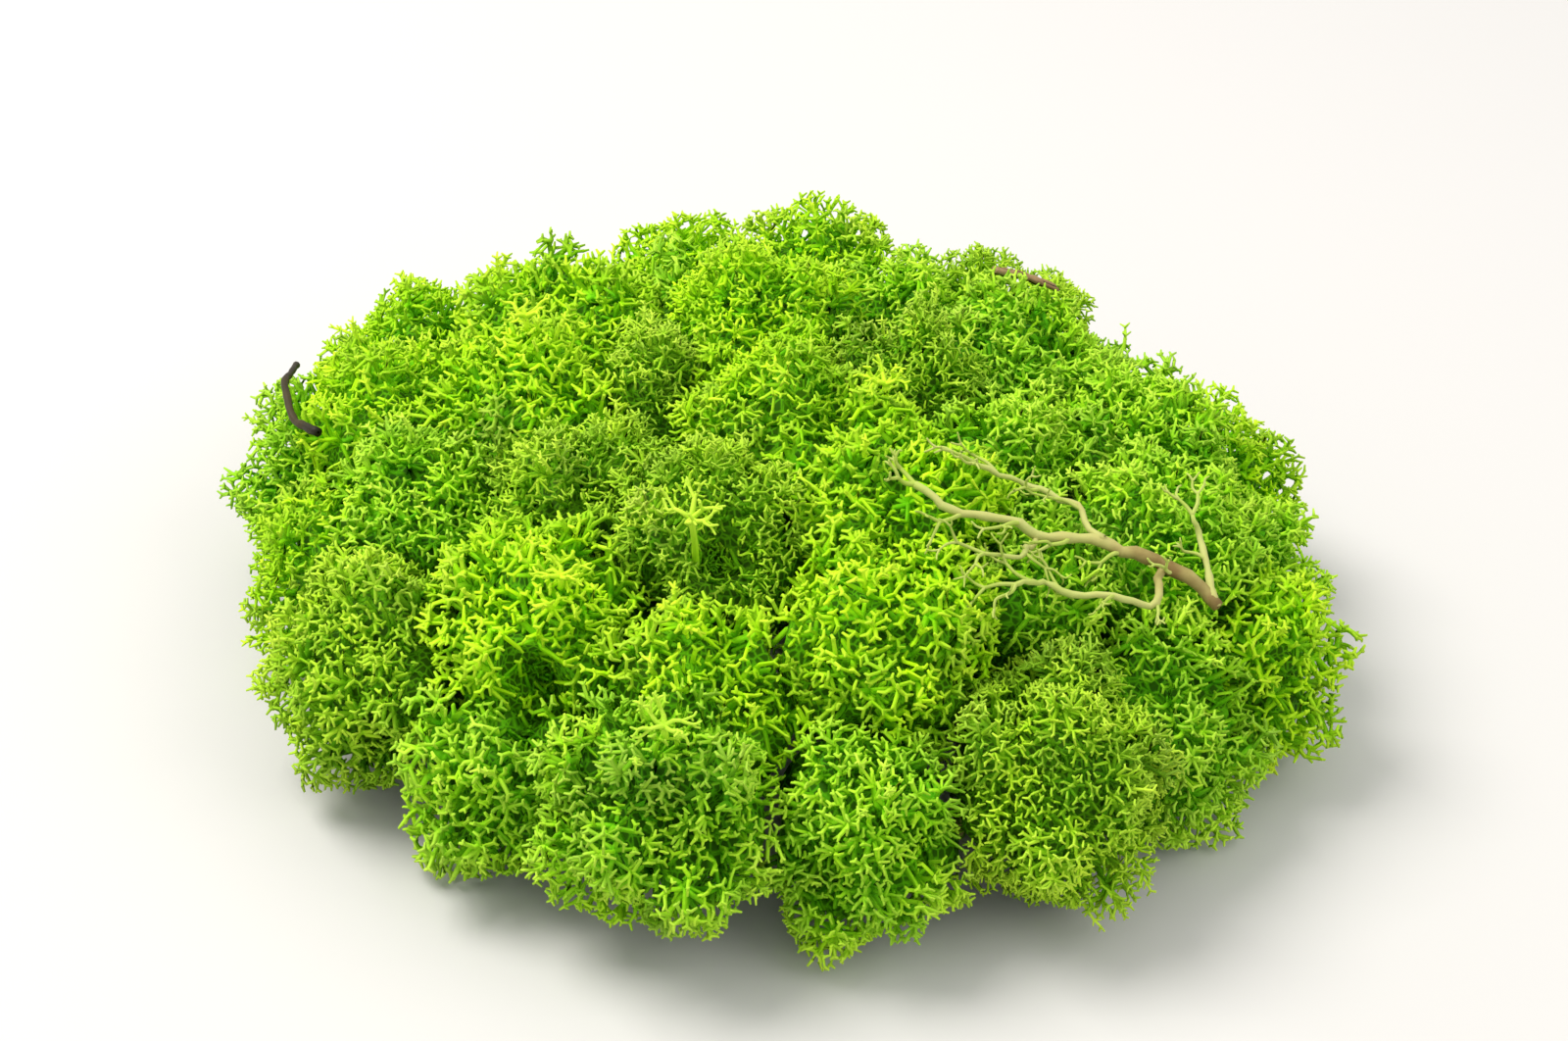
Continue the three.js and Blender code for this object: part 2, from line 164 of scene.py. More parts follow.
LEAST_FACING, LEAST_FALL = 0.05, 1e-3  # a way more level than this never meets the wall or floor

# The dark hollows between some heads, dark from their depth and from painted shade on their
# branches: place in plan, half width and half length
PITS = [
    (46, -1, 6.0, 9.0),
    (21, 12, 5.5, 10.0),
    (47, 42, 4.5, 7.5),
    (-25, -31, 5.2, 6.4),
    (-54, -35, 5.4, 5.4),
    (31, -68, 5.0, 5.0),
]
PIT_RUN = (0.506, 0.863)  # the way in which the long ones run
# PIT_SHADE: how strongly painted shade darkens the branches in a hollow, as a share of a valley's
PIT_DEPTH, PIT_SHADE = 14.0, 2.0
PIT_WALL = (1.1, 0.4)  # shares of its size between which a hollow falls to its full depth
PIT_RISE = (0.1, 0.45)  # a hollow ends where the way to it is as level as this
PIT_FLOOR, CORE_LEAST = 9.5, 6.5  # least distances of the surface and the core from the centre
PIT_EDGE = (1.5, 1.0)
PIT_REACH, PIT_CORE_CLEAR = 4.0, 0.8  # the heads round a hollow branch further down in it

# The boundary between two heads
WALL_CLEAR, WALL_PLAY = 0.35, 1.0  # play: the tips of two heads reach unevenly to each other
WANDER, WANDER_LENGTH = 3.2, 2.0
WANDER_WAVES = np.array([(1.0, 0.3, 0.2), (-0.4, 0.9, 0.3), (0.6, -0.7, 0.6), (0.3, 0.5, -0.9)])
WANDER_STARTS = np.array([0.0, 1.3, 2.9, 4.1])
HIDDEN_SHARE, HIDDEN_START = 0.6, 0.5  # branches are sparse this far down beside a neighbour

# Layers of branching: depth under the surface, its play, spacing as a multiple of the tips' own,
# and the lowest place, from -1 at the foot's side of the head to 1
TIP_DEPTH, LOWEST_TIP = 0.1, -0.1
TWIG_DEPTH, TWIG_RAGGED, TWIG_SPREAD, LOWEST_TWIG = 1.9, 0.9, 1.8, -0.2
INNER_DEPTH, INNER_RAGGED, INNER_SPREAD = 3.3, 1.4, 1.45
BOUGH_DEPTH, BOUGH_RAGGED, BOUGH_SPREAD, LOWEST_BOUGH = 4.6, 1.2, 2.8, -0.3
LIMB_DEPTH, LIMB_RAGGED, LIMB_SPACING, LOWEST_LIMB = 7.0, 1.5, 8.0, -0.4
TIP_REACH, INNER_REACH, LIMB_REACH = 1.2, 3.4, 13.0  # how far down the creases each layer goes
RAGGED_POWER = 1.5
GAP_SHARE, GAP_RUN = 0.35, (0.6, 1.0)  # share of the tips that are missing in a valley
CEILING = cad_box[1][2] / MM + 0.3  # nothing grows above this

# Branches up to each layer: bend, points and sides of their tubes, thickness at both ends as
# multiples of the tips' radius, and height at both ends
TIP_FORM = (0.5, 3, 3, (1.1, 0.85), (0.6, 0.92))
INNER_FORM = (0.6, 2, 3, (1.3, 0.9), (0.35, 0.55))
TWIG_FORM = (0.5, 3, 3, (1.5, 1.15), (0.35, 0.6))
BOUGH_FORM = (0.5, 3, 3, (2.1, 1.6), (0.15, 0.35))
LIMB_FORM = (0.4, 3, 4, (3.0, 2.3), (0.05, 0.15))
LIMB_TONE = 0.5
THICKNESS = (0.8, 0.4)  # least share of its usual thickness that a branch has, and the range
SHARED_TONE, TONE_SPREAD = 0.7, 0.15  # the part of a bough's tone that its bush gives
LEAVING_SPREAD = 0.4
PRONG_TAPER, PRONG_FOOT = 0.6, 0.92
BLUNTNESS = 0.9  # length of a tube's point over its radius
STAR_TONE, STAR_TURN, STAR_SINK, STAR_THICKNESS = 0.1, 0.35, 0.15, 0.9
TRUNKS, TRUNK_DROP, TRUNK_SPREAD = 4, 0.3, 1.6
CORE_DEPTH, CORE_BUMPS, CORE_CLEAR = 5.3, 1.6, 0.2
CORE_FILL, CORE_NEAR = 0.3, (1.5, 1.0)  # the core lies less deep where a neighbour is near
CORE_PIT_RISE = 0.3
# The core's height gives it the dark colour of the depths: painted shade
CORE_GROWTH = (0.1, 0.5, 0.5)
SPRIGS, SPRIG_STEPS = 5, 4
SPRIG_INSIDE, SPRIG_LEVEL = 2.5, 0.2  # sprigs stand this far from the neighbours, and this high
SPRIG_ROOT = 1.2
# Pale forked branches that stand out most: head, place in plan, reach and height over the tips
CROWNS = [
    ("head_21", -26, -29, 5.8, 9.5),
    ("head_09", -27, 23, 5.0, 1.0),
    ("head_22", 8, -16, 5.0, 1.0),
    ("head_20", -44, -24, 4.6, 1.0),
    ("head_19", 72, 6, 4.6, 1.0),
    ("head_36", -44, -52, 5.0, 1.0),
]
CROWN_ARMS, CROWN_RADIUS = 5, 0.4
CROWN_NEAR = 1.5  # a crown stands on the highest tip this near to its place
FOOT_RADII, FOOT_STEPS, FOOT_SIDES, FOOT_BEND = (1.15, 0.95), 7, 6, 0.4
FOOT_PLAY = (0.3, 0.3, 0.0)
UNDER_STEMS, UNDER_STEPS = 18, 5
UNDER_RADII, UNDER_HEIGHTS = (0.7, 0.35), (0.12, 0.03)
UNDER_SPREAD, UNDER_START, UNDER_INSIDE = 0.85, 0.35, 0.8
UNDER_RISE = (1.0, 5.0)  # least height over the floor clearance of their ends, and its range

# Pieces that lie on the heads, as in the part's source: plan points, and radius at start and end
BARE_PODETIUM = [
    ([(30, -60), (26, -54), (19, -49), (12, -45), (4, -42), (-2, -37)], 1.15, 0.6),
    ([(19, -49), (19, -43), (14, -38), (8, -35)], 0.9, 0.5),
    ([(26, -54), (21, -57), (14, -55), (8, -52), (3, -53)], 0.9, 0.5),
    ([(12, -45), (8, -48), (2, -48)], 0.7, 0.45),
    ([(30, -60), (32, -54), (32, -50)], 0.9, 0.5),
]
DARK_NEEDLE = ([(-56, 29), (-57, 36), (-55, 44), (-51, 51)], 0.65, 0.5)
BROWN_TWIG = ([(44, 15), (49, 15), (54, 13)], 0.95, 0.75)
SECTION_REACH, SECTION_SPARE = 1.6, 0.4  # the CAD corners this near give a plan point's height
STEM_SIDES = 9
STEM_THINNING = (0.8, 0.62)  # the old stem and its branches are thinner than the CAD's
STEM_RISES = ((0.0, 0.75), (0.35, 0.9))
STEM_CURVE_STEPS, SCRAP_CURVE_STEPS = 6, 8
BRANCHLET_FIRST, BRANCHLET_STEP, BRANCHLET_LAST = 6, 5, 3
BRANCHLET_FORKS = 2
NEEDLE_RISES = (0.2, 1.0)
SPLIT_WIDTH, SPLIT_START, SPLIT_FALL = 0.6, 0.35, 0.3
SPLIT_EDGES = ((-1.0, (0.55, 0.9)), (1.0, (0.8, 0.6)))  # side, and height at start and end
# How uneven in thickness and how crooked each kind of old stem is
STEM_KNOTS, NEEDLE_KNOTS = (0.14, 0.5), (0.13, 0.14)
EDGE_KNOTS, MIDDLE_KNOTS = (0.15, 0.15), (0.1, 0.1)
BLUNT_START = (0.04, 0.25)  # a tube's closing ring: its step back and its share of the radius

# Dyes: colour of the tips, of the branches under them, and of the depths
DYES = {
    "lime": ((0.45, 0.70, 0.028), (0.41, 0.78, 0.005), (0.17, 0.58, 0.003)),
    "green": ((0.40, 0.66, 0.048), (0.34, 0.70, 0.012), (0.13, 0.50, 0.003)),
    "olive": ((0.42, 0.65, 0.045), (0.33, 0.61, 0.014), (0.15, 0.46, 0.004)),
}
DULL = ((0.35, 0.49, 0.08), (0.24, 0.40, 0.03), (0.09, 0.24, 0.007))
OLD_STEM = (0.34, 0.33, 0.09)
# The lying pieces from root to tip, and the twig from its dark middle, painted shade in the split,
# to its pale edges
BARE_STEM_COLOURS = [(0.2, 0.13, 0.04), (0.44, 0.4, 0.13), (0.47, 0.5, 0.15), (0.37, 0.48, 0.07)]
NEEDLE_COLOURS = [(0.012, 0.011, 0.004), (0.05, 0.036, 0.012), (0.02, 0.016, 0.006)]
TWIG_COLOURS = [(0.03, 0.016, 0.006), (0.20, 0.12, 0.05), (0.38, 0.26, 0.12)]
CORE_SHADE = 0.25  # of the depths' colour: the dark that the core and the lowest branches are painted, as painted shade
HEIGHT_STOPS = (0.0, 0.08, 0.14, 0.36, 0.62, 1.0)  # where each colour of a dye is reached
# The texture of the core's tangle: heights where it fades, and how much its lines add there
TANGLE_SCALE, TANGLE_LINE, TANGLE_END, TANGLE_RISE = 880.0, 0.2, (0.2, 0.3), (0.24, 0.04)
PATCH_SCALE, MOTTLE_SCALE, MOTTLE_RANGE = 55.0, 120.0, (0.4, 1.6)
GRAIN_HEIGHT = 0.0001  # metres

# Studio, in metres, and the photograph's camera: azimuth, elevation and roll in degrees
FLOOR_HALF, FLOOR_COLOUR = 1.6, (0.59, 0.575, 0.555)
SKY_STRENGTH = 0.8
CAMERA_TURNS = (-30.4, 33.2, 2.24)
CAMERA_LENS, CAMERA_DISTANCE, CAMERA_AIM = 63.4, 0.385, (0.0, -0.002, 0.02)


def added(name, data):
    """A new object, put into the scene."""
    thing = bpy.data.objects.new(name, data)
    bpy.context.scene.collection.objects.link(thing)
    return thing


def unit(v):
    return v / np.linalg.norm(v, axis=-1, keepdims=True)


def smoothstep(low, high, value):
    t = np.clip((value - low) / (high - low), 0.0, 1.0)
    return t * t * (3.0 - 2.0 * t)


def across(directions):
    """Two unit vectors square to each direction and to each other."""
    helper = np.where(np.abs(directions[..., 2:3]) > 0.9, [1.0, 0.0, 0.0], [0.0, 0.0, 1.0])
    side = unit(np.cross(helper, directions))
    return side, np.cross(directions, side)


def turned(side, other, turn):
    """The way at an angle from one side towards the other."""
    return side * np.cos(turn)[..., None] + other * np.sin(turn)[..., None]


def sphere_lattice(count, random):
    """Evenly spread directions, turned at random and shaken a little."""
    k = np.arange(count) + 0.5
    height = 1.0 - 2.0 * k / count
    flat = np.sqrt(1.0 - height**2)
    turn = math.pi * (1.0 + math.sqrt(5.0)) * k
    even = np.stack([flat * np.cos(turn), flat * np.sin(turn), height], axis=1)
    spin, _ = np.linalg.qr(random.normal(size=(3, 3)))
    shake = random.normal(size=(count, 3)) * 0.5 / math.sqrt(count)
    return unit(even @ spin + shake)


def lattice_count(radius, spacing):
    return int(4.0 * math.pi * radius**2 / (0.866 * spacing**2))


def in_pit(places, outer, inner):
    """1 inside the given share of a dark hollow's radius, and 0 outside the other."""
    share = np.zeros(len(places))
    for x, y, width, length in PITS:
        right, back = places[:, 0] - x, places[:, 1] - y
        along = (right * PIT_RUN[0] + back * PIT_RUN[1]) / length
        aside = (right * PIT_RUN[1] - back * PIT_RUN[0]) / width
        share = np.maximum(share, smoothstep(outer, inner, np.hypot(along, aside)))
    return share


def wander(places):
    """How far the boundary between two heads strays from a plane."""
    waves = np.sin(places @ WANDER_WAVES.T / WANDER_LENGTH + WANDER_STARTS)
    return WANDER * waves.mean(axis=-1)


class Head:
    """A head's place, its surface and its room between the neighbours."""

    def __init__(self, index, row, lying):
        x, y, self.radius, rise, self.dye, habit = row
        self.index = index
        self.lying = lying
        self.node = f"head_{index + 1:02d}"
        self.habit = HABITS[habit]
        width, depth = abs(x) / CUSHION_HALF[0], abs(y) / CUSHION_HALF[1]
        height = (1.0 - width**PLAN_POWER - depth**PLAN_POWER) ** (1.0 / SIDE_POWER)
        self.axis = unit(np.array([
            math.copysign(PLAN_POWER * width ** (PLAN_POWER - 1.0), x) / CUSHION_HALF[0],
            math.copysign(PLAN_POWER * depth ** (PLAN_POWER - 1.0), y) / CUSHION_HALF[1],
            SIDE_POWER * height ** (SIDE_POWER - 1.0) / CUSHION_HEIGHT,
        ]))
        top = np.array([x, y, height * CUSHION_HEIGHT])
        self.centre = top + self.axis * (rise - self.radius)
        self.random = np.random.default_rng(HEAD_SEED + index)
        self.lumps = self.lump_directions()
        bushes = lattice_count(self.radius, self.habit.bush_spacing)
        self.bushes = sphere_lattice(bushes, self.random)
        spread = self.random.normal(size=bushes) * BUSH_RISE
        self.bush_rise = np.clip(spread, *BUSH_RISE_RANGE)
        self.bush_dullness, self.bush_tone = self.random.random((2, bushes))

    def lump_directions(self):
        side = unit(np.cross([1.0, 0.0, 0.0], self.axis))
        other = np.cross(self.axis, side)
        k = np.arange(LUMPS)
        rise = 1.0 - LUMP_RANGE * (k + LUMP_START) / LUMPS
        turn = math.pi * (3.0 - math.sqrt(5.0)) * k + self.index * LUMP_TURN
        flat = np.sqrt(np.maximum(0.0, 1.0 - rise**2))
        return unit(
            rise[:, None] * self.axis
            + (flat * np.cos(turn))[:, None] * side
            + (flat * np.sin(turn))[:, None] * other
        )

    def find_room(self, heads):
        """Planes between the head and its neighbours, as in the part's source."""
        normals, offsets, turns = [], [], []
        for other in heads:
            apart = other.centre - self.centre
            near = NEIGHBOUR_REACH * (self.radius + other.radius)
            if other is self or np.linalg.norm(apart) >= near:
                continue
            share = 0.5 + (self.radius**2 - other.radius**2) / (2.0 * apart @ apart)
            between = self.centre + apart * share
            normal = unit(apart)
            normals.append(normal)
            offsets.append(normal @ between - HEAD_GAP / 2.0)
            turns.append(1.0 if self.index < other.index else -1.0)
        self.normals, self.offsets, self.turns = map(np.array, (normals, offsets, turns))

    def kept_inside(self, point, clear):
        """A point moved level, away from the walls of the head's room, until it is clear."""
        kept = np.array(point, float)
        for _ in range(STEM_ROUNDS):
            for normal, offset in zip(self.normals, self.offsets):
                level = normal * [1.0, 1.0, 0.0]
                excess = normal @ kept - offset + clear
                if excess > 0.0:
                    kept -= level * excess / (level @ level)
        return kept

    def swell(self, directions):
        """1 on top of a lump of the head, and little between two."""
        return np.exp(LUMP_TIGHTNESS * (directions @ self.lumps.T - 1.0)).max(axis=1)

    def reach(self, directions):
        swell = self.swell(directions)
        under = smoothstep(*UNDERSIDE_RUN, -(directions @ self.axis))
        return self.radius * (1.0 - LUMP_SHARE + LUMP_SHARE * swell - UNDERSIDE_SHARE * under)

    def way_out(self, directions):
        """Distance from the centre to the wall of the head's room, or to the floor's clearance."""
        facing = directions @ self.normals.T
        walls = self.offsets - self.normals @ self.centre
        met = np.maximum(facing, LEAST_FACING)
        places = self.centre + directions[:, None] * (walls / met)[:, :, None]
        walls = walls + self.turns * wander(places)
        ways = np.where(facing > LEAST_FACING, walls / met, np.inf).min(axis=1)
        falling = -directions[:, 2]
        drop = self.centre[2] - FLOOR_CLEAR
        floor = np.where(falling > LEAST_FALL, drop / np.maximum(falling, LEAST_FALL), np.inf)
        return np.minimum(ways, floor)

    def surface(self, directions):
        """Distance to the head's parted surface, how much of a valley is there, and its bush."""
        full = self.reach(directions)
        closeness = smoothstep(*MEETING_RUN, self.way_out(directions) / full)
        facing = directions @ self.bushes.T
        bush = facing.argmax(axis=1)
        apart = full * np.sqrt(np.maximum(0.0, 2.0 - 2.0 * facing.max(axis=1)))
        off = np.minimum(apart / (BUSH_EDGE * self.habit.bush_spacing), BUSH_EDGE_MOST)
        between = 1.0 - self.swell(directions)
        relief = self.bush_rise[bush] - self.habit.bush_depth * off**2 - LUMP_RELIEF * between
        valley = BUSH_VALLEY * smoothstep(*VALLEY_RUN, off) + LUMP_VALLEY * between
        valley = np.clip(valley, 0.0, 1.0)
        near = self.centre + directions * full[:, None]
        clearance = np.ones(len(full))
        for points, _ in self.lying:
            gaps = np.linalg.norm(near[:, None] - points[None], axis=2).min(axis=1)
            clearance *= smoothstep(*RESTING_RANGE, gaps)
        relief *= clearance
        pit = in_pit(near, *PIT_WALL) * smoothstep(*PIT_RISE, directions[:, 2])
        # branches in a hollow are painted darker still: painted shade
        valley = np.maximum(valley, PIT_SHADE * pit)
        parted = full * (1.0 - CREASE_DEPTH * closeness * clearance) + relief
        return np.maximum(parted - PIT_DEPTH * pit, PIT_FLOOR), valley, bush

    def depth_inside(self, points):
        walls = (self.offsets - points @ self.normals.T).min(axis=1)
        return np.minimum(walls, points[:, 2] - FLOOR_CLEAR)


class Layer:
    """One layer of branching: its places, and the ways in which they face."""

    def __init__(self, head, spacing, depth, ragged, lowest,
                 reach=INNER_REACH, gaps=0.0, play=0.0):
        random = head.random
        directions = sphere_lattice(lattice_count(head.radius, spacing), random)
        full, valley, bush = head.surface(directions)
        clear = WALL_CLEAR - play * random.random(len(full))
        surface = np.minimum(full, head.way_out(directions) - clear)
        edges = head.centre + directions * surface[:, None]
        reach = reach + PIT_REACH * in_pit(edges, *PIT_EDGE) * (edges[:, 2] > head.centre[2])
        hidden = HIDDEN_SHARE * smoothstep(HIDDEN_START, reach, full - surface)
        missing = random.random(len(full)) < gaps * smoothstep(*GAP_RUN, valley) + hidden
        level = directions @ head.axis
        kept = (full - surface < reach) & (level > lowest) & ~missing
        kept[level.argmax()] = True
        depths = depth + ragged * random.random(len(full)) ** RAGGED_POWER
        places = head.centre + directions * np.maximum(surface - depths, 1.0)[:, None]
        places[:, 2] = np.minimum(places[:, 2], CEILING)
        self.places, self.ways, self.bush, self.valley = places, directions, bush, valley
        self.keep(kept)

    def keep(self, kept):
        self.places, self.ways = self.places[kept], self.ways[kept]
        self.bush, self.valley = self.bush[kept], self.valley[kept]


def nearest(children, parents):
    """The index of the place of one layer that is nearest to each place of another."""
    gaps = ((children.places[:, None] - parents.places[None]) ** 2).sum(axis=2)
    return gaps.argmin(axis=1)


def curved(starts, leaving, ends, bend, points):
    """Paths that leave each start in a direction and bend to each end."""
    length = np.linalg.norm(ends - starts, axis=1, keepdims=True)
    middle = starts + leaving * length * bend
    t = np.linspace(0.0, 1.0, points)[None, :, None]
    a, b, c = starts[:, None], middle[:, None], ends[:, None]
    return a * (1 - t) ** 2 + b * 2 * t * (1 - t) + c * t**2


def grown(heights, tones, dullness):
    """Growth of the points of branches: each point's own height, and its branch's other two."""
    parts = np.broadcast_arrays(heights, tones[:, None], dullness[:, None])
    return np.stack(parts, axis=2)


class Strands:
    """Gathers tapered tubes and prongs, then makes one mesh of them."""

    def __init__(self):
        self.places, self.faces, self.growth, self.flats, self.cells = [], [], [], [], []
        self.count = self.copies = 0

    def add_copies(self, blocks, growth, patterns):
        """Copies of one pattern of faces, each with its own cell of the flat map for baking."""
        number, size, _ = blocks.shape
        first = self.count + np.arange(number)[:, None, None] * size
        for faces, flat in patterns:
            faces, flat = np.array(faces), np.array(flat, float)
            self.faces.append((first + faces[None]).reshape(-1, faces.shape[1]))
            self.flats.append(np.tile(flat.reshape(-1, 2), (number, 1)))
            self.cells.append(np.repeat(self.copies + np.arange(number), faces.size))
        self.places.append(blocks.reshape(-1, 3))
        self.growth.append(growth.reshape(-1, 3))
        self.count += number * size
        self.copies += number

    def add(self, paths, radii, sides, heights, tones, dullness, closed=True):
        """Tubes along paths, closed by a blunt point or left open at the end."""
        if len(paths) == 0:
            return
        number, points, _ = paths.shape
        along = unit(np.gradient(paths, axis=1))
        side, other = across(along)
        turn = np.arange(sides) * math.tau / sides
        ring = turned(side[:, :, None], other[:, :, None], turn)
        wall = paths[:, :, None, :] + ring * radii[:, :, None, None]
        apex = paths[:, -1] + along[:, -1] * radii[:, -1:] * BLUNTNESS
        blocks = np.concatenate([wall.reshape(number, -1, 3), apex[:, None]], axis=1)
        blocks[:, :, 2] = np.maximum(blocks[:, :, 2], 0.0)
        size = points * sides + 1
        quads, quad_flats, caps, cap_flats = [], [], [], []
        for k in range(sides):
            left, right, centre = k / sides, (k + 1) / sides, (k + 0.5) / sides
            for i in range(points - 1):
                a, b = i * sides + k, i * sides + (k + 1) % sides
                low, high = i / points, (i + 1) / points
                quads.append((a, b, b + sides, a + sides))
                quad_flats.append(((left, low), (right, low), (right, high), (left, high)))
            last = (points - 1) * sides
            caps.append((last + k, last + (k + 1) % sides, size - 1))
            cap_flats.append(((left, high), (right, high), (centre, 1.0)))
        heights = np.concatenate([np.repeat(heights, sides, axis=1), heights[:, -1:]], axis=1)
        patterns = [(quads, quad_flats), (caps, cap_flats)]
        self.add_copies(blocks, grown(heights, tones, dullness),
                        patterns if closed else patterns[:1])

    def add_prongs(self, roots, directions, lengths, radii, heights, tones, dullness):
        """Three-sided blunt prongs, as at the forked and star-shaped ends of the branches."""
        side, other = across(directions)
        turn = np.arange(3) * math.tau / 3.0
        ring = turned(side[:, None], other[:, None], turn)
        base = roots[:, None] + ring * radii[:, None, None]
        far = roots + directions * lengths[:, None]
        end = far[:, None] + ring * radii[:, None, None] * PRONG_TAPER
        blocks = np.concatenate([base, end], axis=1)
        heights = heights[:, None] * ([PRONG_FOOT] * 3 + [1.0] * 3)
        sides = [(0, 1, 4, 3), (1, 2, 5, 4), (2, 0, 3, 5)]
        flats = [((k / 3, 0.0), ((k + 1) / 3, 0.0), ((k + 1) / 3, 0.8), (k / 3, 0.8))
                 for k in range(3)]
        end = ([(3, 4, 5)], [((0.2, 0.85), (0.5, 0.85), (0.35, 1.0))])
        self.add_copies(blocks, grown(heights, tones, dullness), [(sides, flats), end])

    def add_ball(self, places, faces, directions, growth):
        """A closed ball of triangles, mapped by its directions into one cell."""
        turn = np.arctan2(directions[:, 1], directions[:, 0]) / math.tau + 0.5
        rise = directions[:, 2] * 0.5 + 0.5
        flat = np.stack([turn, rise], axis=1)[faces]
        wraps = flat[:, :, 0].max(axis=1) - flat[:, :, 0].min(axis=1) > 0.5
        flat[wraps, :, 0] += flat[wraps, :, 0] < 0.5  # faces across the seam go past 1
        flat[:, :, 0] /= 1.5
        rows = np.tile(growth, (1, len(places), 1))
        self.add_copies(places[None], rows, [(faces, flat)])

    def build(self, name, material):
        places = np.concatenate(self.places) * MM
        loops = np.concatenate([faces.ravel() for faces in self.faces])
        sizes = np.concatenate([np.full(len(faces), faces.shape[1]) for faces in self.faces])
        starts = np.concatenate([[0], np.cumsum(sizes)[:-1]])
        mesh = bpy.data.meshes.new(name)
        mesh.vertices.add(len(places))
        mesh.vertices.foreach_set("co", places.ravel())
        mesh.loops.add(len(loops))
        mesh.loops.foreach_set("vertex_index", loops.astype(np.int32))
        mesh.polygons.add(len(sizes))
        mesh.polygons.foreach_set("loop_start", starts.astype(np.int32))
        growth = mesh.attributes.new("growth", "FLOAT_VECTOR", "POINT")
        growth.data.foreach_set("vector", np.concatenate(self.growth).ravel())
        grid = math.ceil(math.sqrt(self.copies))
        cells = np.concatenate(self.cells)
        corners = np.stack([cells % grid, cells // grid], axis=1)
        flats = (corners + 0.1 + 0.8 * np.concatenate(self.flats)) / grid
        mesh.uv_layers.new(name="OFBake").uv.foreach_set("vector", flats.ravel())
        mesh.update(calc_edges=True)
        mesh.validate()
        mesh.shade_smooth()
        mesh.materials.append(material)
        return added(name, mesh)


def core_ball(head, strands):
    """The dense middle of a head, which the branches stand out of."""
    form = bmesh.new()
    bmesh.ops.create_icosphere(form, subdivisions=3, radius=1.0)
    directions = unit(np.array([corner.co[:] for corner in form.verts]))
    faces = np.array([[corner.index for corner in face.verts] for face in form.faces])
    form.free()
    full, _, _ = head.surface(directions)
    way_out = head.way_out(directions)
    filled = 1.0 - CORE_FILL * smoothstep(*CORE_NEAR, way_out / full)
    bumps = head.random.random(len(full)) * CORE_BUMPS
    edges = head.centre + directions * np.minimum(full, way_out)[:, None]
    open_to_pit = in_pit(edges, *PIT_EDGE) * (directions[:, 2] > CORE_PIT_RISE)
    clear = CORE_CLEAR + PIT_CORE_CLEAR * open_to_pit
    surface = np.maximum(full - CORE_DEPTH * filled - bumps, CORE_LEAST)
    surface = np.minimum(surface, way_out - clear)
    places = head.centre + directions * surface[:, None]
    strands.add_ball(places, faces, directions, CORE_GROWTH)


